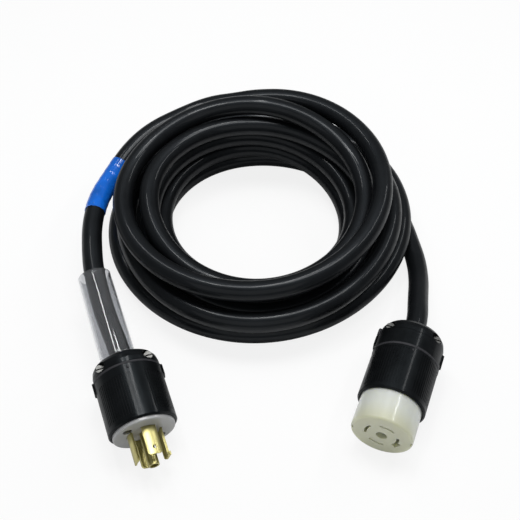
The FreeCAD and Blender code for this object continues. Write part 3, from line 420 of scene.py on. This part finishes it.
def vary(material, shader, clouds, colour, shades, patches, gloss):
    """Let the colour follow one noise between two shades, and the roughness another."""
    low, high = shades
    link(material, tint(material, clouds, shade(colour, low), shade(colour, high)),
         shader.inputs["Base Color"])
    link(material, spread(material, patches, *gloss), shader.inputs["Roughness"])


def cable_rubber(colour):
    """Smooth black jacket rubber with a faint skin, dust and rubbed places."""
    material, shader = principled("cable_rubber", colour, 0.36, {
        "Specular IOR Level": 0.14, "Specular Tint": (0.8, 0.9, 1, 1),
        "Coat Weight": 0.18, "Coat Roughness": 0.06})
    skin = object_noise(material, scale=1400, detail=3)
    cloudy = object_noise(material, scale=26, detail=4)
    rubbed = object_noise(material, scale=120, detail=5, roughness=0.65)
    vary(material, shader, cloudy, colour, (0.75, 1.5), rubbed, (0.34, 0.52))
    bumped(material, shader, [(skin, 0.02 * MM), (cloudy, 0.2 * MM)])
    return material


def black_nylon(colour):
    """Fine-grained black moulding."""
    material, shader = principled("black_nylon", colour, 0.34, {
        "Specular IOR Level": 0.08, "Specular Tint": (0.75, 0.9, 1, 1),
        "Coat Weight": 0.11, "Coat Roughness": 0.12})
    grain = object_noise(material, scale=2200, detail=2)
    worn = object_noise(material, scale=60, detail=5, roughness=0.6)
    vary(material, shader, worn, colour, (0.8, 1.5), worn, (0.26, 0.42))
    bumped(material, shader, [(grain, 0.02 * MM)])
    return material


def white_nylon(name, colour, depth, reach, roughness):
    """Pale moulding that light enters."""
    material, shader = principled(name, colour, roughness, {
        "Coat Weight": 0.5, "Coat Roughness": 0.07, "Subsurface Weight": depth,
        "Subsurface Radius": (1.0, 1.0, 0.8), "Subsurface Scale": reach})
    flow = object_noise(material, scale=22, detail=3)
    grain = object_noise(material, scale=900, detail=2)
    vary(material, shader, flow, colour, (0.93, 1.04), flow, (roughness - 0.04, roughness + 0.06))
    bumped(material, shader, [(grain, 0.01 * MM)])
    return material


def along_axis(material, housing, start, end):
    """A value that rises from 0 to 1 between two places along a housing's axis."""
    place = add_node(material, "ShaderNodeTexCoord")
    ahead = housing.to_3x3() @ UP
    project = add_node(material, "ShaderNodeVectorMath", operation="DOT_PRODUCT")
    link(material, place.outputs["Object"], project.inputs[0])
    project.inputs[1].default_value = ahead
    entry = ahead.dot(housing.translation)
    return spread(material, project.outputs["Value"], 0, 1, entry + start, entry + end)


def shaded(material, colour):
    """Paint shade on the nose's front: fade its colour to another at its front."""
    base = material.node_tree.nodes["Principled BSDF"].inputs["Base Color"]
    # share of painted shade, rising towards the face
    front = along_axis(material, CONNECTOR, CONNECTOR_LONG - NOSE_SHADE_REACH, CONNECTOR_LONG)
    mix = add_node(material, "ShaderNodeMix", data_type="RGBA")
    link(material, front, mix.inputs[0])
    link(material, base.links[0].from_socket, mix.inputs[6])
    mix.inputs[7].default_value = (*colour, 1)
    link(material, mix.outputs[2], base)


def rolled_metal(name, colour, roughness):
    """Rolled sheet metal with fine lines and a little tarnish."""
    material, shader = principled(name, colour, roughness, {"Metallic": 1.0})
    lines = object_noise(material, scale=300, detail=2, stretch=(3, 0.4, 3))
    tarnish = object_noise(material, scale=70, detail=4, roughness=0.6)
    vary(material, shader, tarnish, colour, (0.85, 1.08), lines, (roughness - 0.03, roughness + 0.05))
    bumped(material, shader, [(lines, 0.003 * MM)])
    return material


def smooth_plastic(name, colour, roughness):
    """Smooth coloured plastic or soft rubber."""
    material, shader = principled(name, colour, roughness)
    cloudy = object_noise(material, scale=90, detail=4)
    grain = object_noise(material, scale=1500, detail=2)
    vary(material, shader, cloudy, colour, (0.88, 1.08), cloudy, (roughness - 0.05, roughness + 0.08))
    bumped(material, shader, [(grain, 0.01 * MM)])
    return material


def vinyl_tape(colour):
    """Glossy stretched vinyl with small wrinkles."""
    material, shader = principled("blue_tape", colour, 0.16)
    wrinkle = object_noise(material, scale=240, detail=4, roughness=0.6)
    sag = object_noise(material, scale=55, detail=3)
    vary(material, shader, sag, colour, (0.75, 1.35), wrinkle, (0.08, 0.2))
    bumped(material, shader, [(sag, 0.05 * MM), (wrinkle, 0.006 * MM)])
    return material


def clear_vinyl():
    """Clear soft tube, slightly milky."""
    material, shader = principled("clear_vinyl", VINYL_COLOUR, 0.02, {
        "Transmission Weight": 0.96, "IOR": 1.15, "Coat Weight": 0.9, "Coat Roughness": 0.03})
    haze = object_noise(material, scale=22, detail=2)
    vary(material, shader, haze, VINYL_COLOUR, (0.96, 1.04), haze, (0.01, 0.04))
    bumped(material, shader, [(haze, 0.02 * MM)])
    return material


def finish_node(name, material):
    """Give a CAD node its material."""
    NODES[name].data.materials.clear()
    NODES[name].data.materials.append(material)


# Meshes


def new_piece(name, bm, material, body):
    """Put a bmesh in the scene as a piece that rides on a body."""
    mesh = bpy.data.meshes.new(name)
    bm.to_mesh(mesh)
    bm.free()
    for face in mesh.polygons:
        face.use_smooth = True
    thing = bpy.data.objects.new(name, mesh)
    bpy.context.scene.collection.objects.link(thing)
    mesh.materials.append(material)
    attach(thing, body)
    return thing


def turned_section(corners, steps, degrees=360):
    """A body turned about Z from the corners of its section, as radius and height."""
    bm = bmesh.new()
    ring = [bm.verts.new((radius, 0, height)) for radius, height in corners]
    for near, far in zip(ring, ring[1:] + ring[:1]):
        bm.edges.new((near, far))
    whole = degrees >= 360
    if not whole:
        bm.faces.new(ring)
    bmesh.ops.spin(bm, geom=bm.verts[:] + bm.edges[:] + bm.faces[:], axis=UP, cent=(0, 0, 0),
                   angle=math.radians(degrees), steps=steps, use_merge=whole)
    bmesh.ops.recalc_face_normals(bm, faces=bm.faces)
    return bm


def round_edges(bm, offset, segments):
    """Round every edge of a small piece."""
    bmesh.ops.bevel(bm, geom=bm.edges[:], offset=offset, offset_type="OFFSET", affect="EDGES",
                    segments=segments, profile=0.5, material=-1)
    bmesh.ops.recalc_face_normals(bm, faces=bm.faces)


def turned_to(housing, degrees):
    """A housing's frame turned about its own axis."""
    return housing @ Matrix.Rotation(math.radians(degrees), 4, "Z")


def cable_curve(name, points, radius):
    """A smooth curve near its control points."""
    data = bpy.data.curves.new(name, "CURVE")
    data.dimensions = "3D"
    data.bevel_depth = radius
    data.bevel_resolution = 10
    data.resolution_u = 6
    data.use_fill_caps = radius > 0
    spline = data.splines.new("NURBS")
    spline.points.add(len(points) - 1)
    for control, place in zip(spline.points, points):
        control.co = (*place, 1)
    spline.order_u = 3
    spline.use_endpoint_u = True
    thing = bpy.data.objects.new(name, data)
    bpy.context.scene.collection.objects.link(thing)
    return thing


def whole_route():
    """The cable's control points from the plug to the connector."""
    return PLUG_ROUTE + coil_points() + CONNECTOR_ROUTE


def read_line(points):
    """Points of the smooth line that runs near control points."""
    bare = cable_curve("cable_line", points, 0)
    bare.data.resolution_u = 24
    mesh = bpy.data.meshes.new_from_object(bare)
    line = [vertex.co.copy() for vertex in mesh.vertices]
    curve = bare.data
    bpy.data.objects.remove(bare)
    bpy.data.curves.remove(curve)
    bpy.data.meshes.remove(mesh)
    return line


class Line:
    """A line with its arc lengths and a frame that doesn't twist along it."""

    def __init__(self, points):
        self.points = points
        self.lengths = [0.0]
        for near, far in zip(points, points[1:]):
            self.lengths.append(self.lengths[-1] + (far - near).length)
        self.total = self.lengths[-1]
        headings = [(far - near).normalized() for near, far in zip(points, points[1:])]
        self.headings = [headings[0]] + headings
        side = headings[0].cross(UP).normalized()
        self.sides = []
        for heading in self.headings:
            side = (side - heading * side.dot(heading)).normalized()
            self.sides.append(side.copy())

    def frame_at(self, length):
        """The frame at a length from the start: X across, Y up, Z onward."""
        length = min(max(length, 0.0), self.total)
        index = 1
        while self.lengths[index] < length and index < len(self.points) - 1:
            index += 1
        before, after = self.lengths[index - 1], self.lengths[index]
        place = self.points[index - 1].lerp(self.points[index], (length - before) / (after - before))
        ahead = self.headings[index]
        across = self.sides[index]
        across = (across - ahead * across.dot(ahead)).normalized()
        above = ahead.cross(across)
        matrix = Matrix((across, above, ahead)).transposed().to_4x4()
        matrix.translation = place
        return matrix


def nearest(points, place):
    """Index of the point nearest a place."""
    return min(range(len(points)), key=lambda index: (points[index] - place).length)


def lay_along(bm, line):
    """Bend a piece made along Z so that it follows a line."""
    for vertex in bm.verts:
        x, y, z = vertex.co
        vertex.co = line.frame_at(z) @ Vector((x, y, 0))


# Operators


class POWERCORD_OT_stage(Operator):
    """Set up the camera, the lamps, the world and the floor"""

    bl_idname = "power_cord.stage"
    bl_label = "Stage"

    def execute(self, context):
        settings = context.scene.power_cord_stage
        scene = context.scene
        scene.view_settings.view_transform = "Standard"
        camera = bpy.data.cameras.new("camera")
        camera.lens = settings.lens
        camera.sensor_width = 36
        camera.clip_start = 0.01
        holder = bpy.data.objects.new("camera", camera)
        holder.location = settings.camera_place
        holder.rotation_euler = (settings.camera_tilt, 0, 0)
        scene.collection.objects.link(holder)
        scene.camera = holder
        self.light_world(scene, settings.world_light)
        self.hang_lamps(scene, settings)
        self.lay_floor(scene, settings.floor_colour)
        return {"FINISHED"}

    def light_world(self, scene, strength):
        """Grey light from all round, white where the camera looks past the object."""
        world = bpy.data.worlds.new("studio")
        world.use_nodes = True
        scene.world = world
        nodes = world.node_tree.nodes
        links = world.node_tree.links
        fill = nodes["Background"]
        fill.inputs["Color"].default_value = WORLD_COLOUR
        fill.inputs["Strength"].default_value = strength
        white = nodes.new("ShaderNodeBackground")
        white.inputs["Strength"].default_value = 1
        seen = self.seen_rays(nodes, links)
        mix = nodes.new("ShaderNodeMixShader")
        links.new(seen, mix.inputs[0])
        links.new(fill.outputs[0], mix.inputs[1])
        links.new(white.outputs[0], mix.inputs[2])
        links.new(mix.outputs[0], nodes["World Output"].inputs["Surface"])

    def seen_rays(self, nodes, links):
        """1 for what the camera sees directly or through clear plastic."""
        path = nodes.new("ShaderNodeLightPath")
        most = nodes.new("ShaderNodeMath")
        most.operation = "MAXIMUM"
        links.new(path.outputs["Is Camera Ray"], most.inputs[0])
        links.new(path.outputs["Is Transmission Ray"], most.inputs[1])
        return most.outputs[0]

    def hang_lamps(self, scene, settings):
        """A broad lamp above, three narrow ones behind and a broad one in front."""
        for name, lamp in LAMPS.items():
            light = bpy.data.lights.new(name, "AREA")
            light.shape = "RECTANGLE"
            light.size, light.size_y = lamp.spans
            light.energy = getattr(settings, lamp.setting) * lamp.share
            holder = bpy.data.objects.new(name, light)
            back = (Vector(lamp.place) - Vector(lamp.target)).normalized()
            side = Vector(lamp.along)
            side = (side - back * side.dot(back)).normalized()
            turn = Matrix((side, back.cross(side), back)).transposed().to_4x4()
            turn.translation = lamp.place
            holder.matrix_world = turn
            scene.collection.objects.link(holder)

    def lay_floor(self, scene, colour):
        """A wide pale floor that keeps the object's shadow."""
        material, shader = principled("floor", colour, 0.9, {"Specular IOR Level": 0.1})
        nodes, links = material.node_tree.nodes, material.node_tree.links
        glow = nodes.new("ShaderNodeEmission")
        glow.inputs["Strength"].default_value = 1
        share = nodes.new("ShaderNodeMath")
        share.operation = "MULTIPLY"
        share.inputs[1].default_value = FLOOR_GLOW
        links.new(self.seen_rays(nodes, links), share.inputs[0])
        mix = nodes.new("ShaderNodeMixShader")
        links.new(share.outputs[0], mix.inputs[0])
        links.new(shader.outputs[0], mix.inputs[1])
        links.new(glow.outputs[0], mix.inputs[2])
        links.new(mix.outputs[0], nodes["Material Output"].inputs["Surface"])
        bm = bmesh.new()
        bmesh.ops.create_grid(bm, x_segments=1, y_segments=1, size=FLOOR_SIZE)
        mesh = bpy.data.meshes.new("floor")
        bm.to_mesh(mesh)
        bm.free()
        mesh.materials.append(material)
        floor = bpy.data.objects.new("floor", mesh)
        floor.location = (0, 0, -FLOOR_DROP)
        scene.collection.objects.link(floor)


class POWERCORD_OT_cable(Operator):
    """Lay the whole cable from the plug through the coil to the connector"""

    bl_idname = "power_cord.cable"
    bl_label = "Cable"

    def execute(self, context):
        settings = context.scene.power_cord_cable
        cable = cable_curve("cable", whole_route(), settings.diameter / 2)
        cable.data.materials.append(cable_rubber(settings.rubber))
        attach(cable, "cord")
        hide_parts("cable_coil", "plug_lead", "connector_lead")
        return {"FINISHED"}


class POWERCORD_OT_tape(Operator):
    """Wrap the blue tape round the lead"""

    bl_idname = "power_cord.tape"
    bl_label = "Tape"

    def execute(self, context):
        settings = context.scene.power_cord_cable
        first, last = TAPE_RUNS
        points = read_line(PLUG_ROUTE)
        start = nearest(points, (PLUG_ROUTE[first] + PLUG_ROUTE[first + 1]) / 2)
        end = nearest(points, (PLUG_ROUTE[last] + PLUG_ROUTE[last + 1]) / 2)
        line = Line(points[start:end + 1])
        inner = settings.diameter / 2 + TAPE_GAP
        bm = self.straight_tube(inner, line.total)
        self.wrap(bm, inner, settings.tape_build, line.total)
        self.close_ends(bm, inner - TAPE_FOLD)
        lay_along(bm, line)
        tape = new_piece("tape", bm, vinyl_tape(settings.tape), "cord")
        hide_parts("blue_tape")
        return {"FINISHED"}

    def straight_tube(self, radius, length):
        """A thin tube along Z."""
        bm = bmesh.new()
        bmesh.ops.create_circle(bm, segments=TAPE_FACETS, radius=radius)
        edges = bm.edges[:]
        for step in range(TAPE_RINGS):
            raised = bmesh.ops.extrude_edge_only(bm, edges=edges)["geom"]
            edges = [item for item in raised if isinstance(item, bmesh.types.BMEdge)]
            verts = [item for item in raised if isinstance(item, bmesh.types.BMVert)]
            bmesh.ops.translate(bm, verts=verts, vec=(0, 0, length / TAPE_RINGS))
        return bm

    def wrap(self, bm, inner, build, length):
        """Give a tube the tilted ends, the lapped turns and the waviness of wound tape."""
        pitch = TAPE_WIDTH * TAPE_ADVANCE
        for vertex in bm.verts:
            x, y, z = vertex.co
            angle = math.atan2(y, x)
            tilt = TAPE_TILT * math.sin(angle + TAPE_TILT_TURN)
            z += tilt * (1 - 2 * z / length)
            lap = (z / pitch + angle / (2 * math.pi)) % 1
            if lap < TAPE_EDGE:
                raised = lap / TAPE_EDGE
            else:
                raised = (1 - lap) / (1 - TAPE_EDGE)
            ripple = noise.noise(vertex.co * TAPE_RIPPLES_PER_METRE) * TAPE_RIPPLE
            out = inner + build * (TAPE_THIN + TAPE_LAP * raised) + ripple
            vertex.co = (out * math.cos(angle), out * math.sin(angle), z)
        bmesh.ops.recalc_face_normals(bm, faces=bm.faces)

    def close_ends(self, bm, radius):
        """Fold both open ends in to a radius under the cable's surface."""
        rims = [edge for edge in bm.edges if edge.is_boundary]
        for item in bmesh.ops.extrude_edge_only(bm, edges=rims)["geom"]:
            if isinstance(item, bmesh.types.BMVert):
                item.co.xy = item.co.xy.normalized() * radius


class POWERCORD_OT_sleeve(Operator):
    """Make the clear sleeve that hangs on the lead"""

    bl_idname = "power_cord.sleeve"
    bl_label = "Sleeve"

    def execute(self, context):
        settings = context.scene.power_cord_cable
        inner = settings.sleeve_bore / 2
        outer = inner + settings.sleeve_wall
        long = settings.sleeve_length
        entry = PLUG.translation
        along = (SLEEVE_TOWARDS - entry).normalized()
        near = entry + along * SLEEVE_START + SLEEVE_NEAR_LEAN
        far = entry + along * (SLEEVE_START + long) + SLEEVE_FAR_LEAN
        axis = (far - near).normalized()
        soft = SLEEVE_LIP
        rows = [long * row / SLEEVE_ROWS for row in range(1, SLEEVE_ROWS)]
        corners = [(inner, row) for row in rows]
        corners += [(inner, long - soft), (inner + soft, long), (outer - soft, long),
                    (outer, long - soft)]
        corners += [(outer, row) for row in reversed(rows)]
        corners += [(outer, soft), (outer - soft, 0), (inner + soft, 0), (inner, soft)]
        bm = turned_section(corners, SLEEVE_FACETS)
        for vertex in bm.verts:
            x, y, z = vertex.co
            oval = SLEEVE_OVAL - SLEEVE_OVAL_LOSS * z / long
            vertex.co = (x * (1 + oval), y * (1 - oval), z)
        turn = axis.to_track_quat("Z", "Y").to_matrix().to_4x4()
        turn.translation = near
        bm.transform(turn)
        sleeve = new_piece("sleeve", bm, clear_vinyl(), "sleeve")
        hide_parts("clear_sleeve")
        return {"FINISHED"}


class POWERCORD_OT_housings(Operator):
    """Finish the shells, the clamps and the parts inside them"""

    bl_idname = "power_cord.housings"
    bl_label = "Housings"

    def execute(self, context):
        settings = context.scene.power_cord_housings
        black = black_nylon(settings.black)
        rubber = smooth_plastic("seal_rubber", SEAL_COLOUR, 0.6)
        grey = smooth_plastic("grey_moulding", CARRIER_COLOUR, 0.5)
        for side in ("plug", "connector"):
            for name in ("_shell", "_jaw_upper", "_jaw_lower"):
                finish_node(side + name, black)
            finish_node(side + "_seal", rubber)
            finish_node(side + "_carrier", grey)
        return {"FINISHED"}


class POWERCORD_OT_collars(Operator):
    """Add the raised rims and pointers of both housings and the ear of the connector's clamp"""

    bl_idname = "power_cord.collars"
    bl_label = "Collars"

    def execute(self, context):
        material = bpy.data.materials["black_nylon"]
        self.rim("plug_rim", PLUG, material, start=14.2 * MM, end=16.2 * MM, first=-180, last=180)
        self.rim("connector_rim", CONNECTOR, material, start=28.6 * MM, end=30.8 * MM, first=-25,
                 last=205)
        self.pointer("plug_pointer", PLUG, material, start=17 * MM, angle=88)
        self.pointer("connector_pointer", CONNECTOR, material, start=31.4 * MM, angle=81)
        self.ear("connector_ear", CONNECTOR, material)
        return {"FINISHED"}

    def rim(self, name, housing, material, start, end, first, last):
        """A low raised rim round a shell, from one angle to another in degrees."""
        sunk = SHELL_RADIUS - RIM_SUNK
        proud = SHELL_RADIUS + RIM_PROUD
        corners = [(sunk, start), (proud - RIM_SOFT, start), (proud, start + RIM_SOFT),
                   (proud, end - RIM_SOFT), (proud - RIM_SOFT, end), (sunk, end)]
        bm = turned_section(corners, (last - first) // RIM_FACET, last - first)
        bm.transform(turned_to(housing, first))
        new_piece(name, bm, material, "cord")

    def pointer(self, name, housing, material, start, angle):
        """A small raised wedge on a shell that points at the clamp."""
        bm = bmesh.new()
        bmesh.ops.create_cone(bm, cap_ends=True, segments=3, radius1=POINTER_FOOT,
                              radius2=POINTER_TOP, depth=POINTER_DEPTH)
        bmesh.ops.scale(bm, verts=bm.verts, vec=(1, POINTER_NARROW, 1))
        round_edges(bm, POINTER_SOFT, 2)
        place = Matrix.Translation((SHELL_RADIUS, 0, start + POINTER_MIDDLE))
        bm.transform(turned_to(housing, angle) @ (place @ Matrix.Rotation(QUARTER, 4, "Y")))
        new_piece(name, bm, material, "cord")

    def ear(self, name, housing, material):
        """A rounded ear on the left of the connector's cord clamp, which moves with its jaw."""
        bm = bmesh.new()
        bmesh.ops.create_cube(bm, size=1)
        bmesh.ops.scale(bm, verts=bm.verts, vec=EAR_SIZE)
        round_edges(bm, EAR_SOFT, 4)
        bm.transform(turned_to(housing, EAR_ANGLE) @ Matrix.Translation(EAR_PLACE))
        new_piece(name, bm, material, "connector_clamp")


class POWERCORD_OT_faces(Operator):
    """Finish the plug's face and the connector's nose"""

    bl_idname = "power_cord.faces"
    bl_label = "Faces"

    def execute(self, context):
        settings = context.scene.power_cord_housings
        face = white_nylon("face_nylon", settings.face, depth=0.2, reach=4 * MM, roughness=0.35)
        finish_node("plug_face", face)
        nose = white_nylon("nose_nylon", settings.white, depth=0.8, reach=9 * MM, roughness=0.3)
        # painted shade on the nose's front
        shaded(nose, settings.front_shade)
        finish_node("connector_nose", nose)
        return {"FINISHED"}


class POWERCORD_OT_metal(Operator):
    """Finish the blades, the pin, the contacts, the terminals and the screws"""

    bl_idname = "power_cord.metal"
    bl_label = "Metal"

    def execute(self, context):
        settings = context.scene.power_cord_housings
        brass = rolled_metal("brass", settings.brass, 0.35)
        steel = rolled_metal("plated_steel", settings.steel, 0.42)
        for pole in ("neutral", "line_1", "line_2", "line_3"):
            finish_node("plug_blade_" + pole, brass)
            finish_node("connector_contact_" + pole, brass)
        finish_node("plug_ground_pin", brass)
        finish_node("connector_ground_contact", brass)
        for side in ("plug", "connector"):
            finish_node(side + "_terminal_clamps", brass)
            for name in ("_terminal_screws", "_assembly_screws", "_clamp_screws"):
                finish_node(side + name, steel)
        return {"FINISHED"}


class POWERCORD_OT_cores(Operator):
    """Finish the five insulated conductors inside each housing"""

    bl_idname = "power_cord.cores"
    bl_label = "Conductors"

    def execute(self, context):
        for name, colour in CORE_COLOURS.items():
            insulation = smooth_plastic("core_" + name, colour, 0.35)
            for side in ("plug", "connector"):
                finish_node(side + "_core_" + name, insulation)
        return {"FINISHED"}


class POWERCORD_OT_declare(Operator):
    """Does nothing: it doesn't state the cable's length, diameter or ends"""

    bl_idname = "power_cord.declare"
    bl_label = "Cable Facts"

    def execute(self, context):
        return {"FINISHED"}


class POWERCORD_PT_panel(Panel):
    """Lists the cord's settings and operators"""

    bl_label = "Shore Power Cord"
    bl_idname = "POWERCORD_PT_panel"
    bl_space_type = "VIEW_3D"
    bl_region_type = "UI"
    bl_category = "Power Cord"

    def draw(self, context):
        layout = self.layout
        groups = (context.scene.power_cord_stage, context.scene.power_cord_cable,
                  context.scene.power_cord_housings)
        for settings in groups:
            column = layout.column()
            for name in settings.__annotations__:
                column.prop(settings, name)
        for step in STEPS:
            layout.operator(step.bl_idname)


STEPS = (
    POWERCORD_OT_stage,
    POWERCORD_OT_cable,
    POWERCORD_OT_tape,
    POWERCORD_OT_sleeve,
    POWERCORD_OT_housings,
    POWERCORD_OT_collars,
    POWERCORD_OT_faces,
    POWERCORD_OT_metal,
    POWERCORD_OT_cores,
    POWERCORD_OT_declare,
)
SETTINGS = (StageSettings, CableSettings, HousingSettings)


def register():
    """Register the settings, the operators and the panel."""
    for group in SETTINGS + STEPS + (POWERCORD_PT_panel,):
        bpy.utils.register_class(group)
    bpy.types.Scene.power_cord_stage = PointerProperty(type=StageSettings)
    bpy.types.Scene.power_cord_cable = PointerProperty(type=CableSettings)
    bpy.types.Scene.power_cord_housings = PointerProperty(type=HousingSettings)


def unregister():
    """Remove what register added."""
    del bpy.types.Scene.power_cord_housings
    del bpy.types.Scene.power_cord_cable
    del bpy.types.Scene.power_cord_stage
    for group in reversed(SETTINGS + STEPS + (POWERCORD_PT_panel,)):
        bpy.utils.unregister_class(group)


def main():
    """Build everything in order."""
    register()
    bpy.ops.power_cord.stage()
    bpy.ops.power_cord.cable()
    bpy.ops.power_cord.tape()
    bpy.ops.power_cord.sleeve()
    bpy.ops.power_cord.housings()
    bpy.ops.power_cord.collars()
    bpy.ops.power_cord.faces()
    bpy.ops.power_cord.metal()
    bpy.ops.power_cord.cores()
    bpy.ops.power_cord.declare()


if __name__ == "__main__":
    main()
